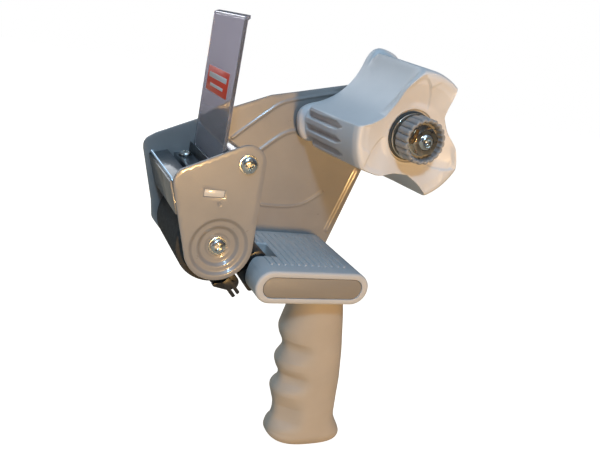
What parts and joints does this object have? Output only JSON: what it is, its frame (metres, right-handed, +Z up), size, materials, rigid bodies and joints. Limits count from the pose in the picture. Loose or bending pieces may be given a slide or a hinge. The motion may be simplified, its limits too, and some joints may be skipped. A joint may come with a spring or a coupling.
{
  "type": "hand-held packing tape dispenser",
  "caption": "Pistol-grip tape dispenser: side plates, rubber roller, serrated blade, clear flap, three-lobed roll hub with brake knob, thumb shelf and moulded grip.",
  "frame": {"origin": "on the axis of the tape core hub, half-way across the width of the tape", "axes": "-X forward to the blade and roller, +Y across the tool from the front side plate to the main frame plate, +Z up with the grip hanging down"},
  "size_m": [0.1606, 0.0856, 0.2506],
  "materials": {
    "frame_plate": "satin baked enamel",
    "front_side_plate": "satin baked enamel",
    "upper_tie_rod": "zinc plated",
    "side_plate_washers": "bright plated",
    "side_plate_screws": "bright plated",
    "frame_rear_screws": "bright plated",
    "spacer_bar": "moulded",
    "cross_plate": "satin baked enamel",
    "cross_plate_screws": "bright plated",
    "front_cover": "satin baked enamel",
    "cutting_blade": "ground steel",
    "blade_holder": "dark enamel",
    "flap_clamp_strip": "satin baked enamel",
    "tape_flap": "clear plastic",
    "flap_label": "printed film",
    "roller_axle": "turned steel",
    "roller_core": "moulded",
    "roller_sleeve": "smooth black rubber",
    "roller_bushes": "moulded",
    "comb_shaft": "turned steel",
    "stop_comb": "moulded",
    "comb_spring": "spring wire",
    "shelf_housing": "moulded, fine grain",
    "shelf_end_panel": "satin baked enamel",
    "handle_bracket": "folded steel",
    "handle_screws": "bright plated",
    "handle_grip": "moulded, fine grain",
    "release_lever": "moulded",
    "lever_pin": "turned steel",
    "hub_spindle": "zinc plated",
    "hub_spacer": "zinc plated",
    "hub_clamp_nut": "zinc plated",
    "hub_core": "moulded, fine grain",
    "hub_bush": "moulded",
    "friction_washer": "fibre",
    "thrust_washer": "zinc plated",
    "brake_spring": "spring wire",
    "tension_knob": "moulded",
    "knob_washer": "bright plated",
    "knob_lock_nut": "bright plated"
  },
  "bodies": {
    "frame": {"frame_plate": "frame_plate", "front_side_plate": "front_side_plate", "upper_tie_rod": "upper_tie_rod", "side_plate_washers": "side_plate_washers", "side_plate_screws": "side_plate_screws", "frame_rear_screws": "frame_rear_screws", "spacer_bar": "spacer_bar", "cross_plate": "cross_plate", "cross_plate_screws": "cross_plate_screws", "front_cover": "front_cover", "cutting_blade": "cutting_blade", "blade_holder": "blade_holder", "flap_clamp_strip": "flap_clamp_strip", "roller_axle": "roller_axle", "comb_shaft": "comb_shaft", "comb_spring": "comb_spring", "shelf_housing": "shelf_housing", "shelf_end_panel": "shelf_end_panel", "handle_bracket": "handle_bracket", "handle_screws": "handle_screws", "handle_grip": "handle_grip", "lever_pin": "lever_pin", "hub_spindle": "hub_spindle", "hub_spacer": "hub_spacer", "hub_clamp_nut": "hub_clamp_nut", "thrust_washer": "thrust_washer", "brake_spring": "brake_spring", "knob_washer": "knob_washer", "knob_lock_nut": "knob_lock_nut"},
    "hub": {"hub_core": "hub_core", "hub_bush": "hub_bush", "friction_washer": "friction_washer"},
    "roller": {"roller_core": "roller_core", "roller_sleeve": "roller_sleeve", "roller_bushes": "roller_bushes"},
    "knob": {"tension_knob": "tension_knob"},
    "flap": {"tape_flap": "tape_flap", "flap_label": "flap_label"},
    "comb": {"stop_comb": "stop_comb"},
    "lever": {"release_lever": "release_lever"}
  },
  "joints": [
    {"name": "hub_spin", "type": "hinge", "parent": "frame", "child": "hub", "pos_m": [0, 0, 0], "axis": [0, 1, 0], "continuous": true},
    {"name": "roller_spin", "type": "hinge", "parent": "frame", "child": "roller", "pos_m": [-0.0917, 0, -0.07], "axis": [0, 1, 0], "continuous": true},
    {"name": "knob_turn", "type": "hinge", "parent": "frame", "child": "knob", "pos_m": [0, -0.045, 0], "axis": [0, -1, 0], "range_deg": [-180, 180]},
    {"name": "flap_rock", "type": "hinge", "parent": "frame", "child": "flap", "pos_m": [-0.0965, 0, -0.0312], "axis": [0, 1, 0], "range_deg": [-18, 18], "stiffness_Nm_per_rad": 0.06},
    {"name": "comb_rock", "type": "hinge", "parent": "frame", "child": "comb", "pos_m": [-0.0775, 0, -0.0945], "axis": [0, 1, 0], "range_deg": [-8, 8], "stiffness_Nm_per_rad": 0.05},
    {"name": "lever_rock", "type": "hinge", "parent": "frame", "child": "lever", "pos_m": [-0.06135, 0, -0.08835], "axis": [0, 1, 0], "range_deg": [-10, 12], "stiffness_Nm_per_rad": 0.05}
  ]
}
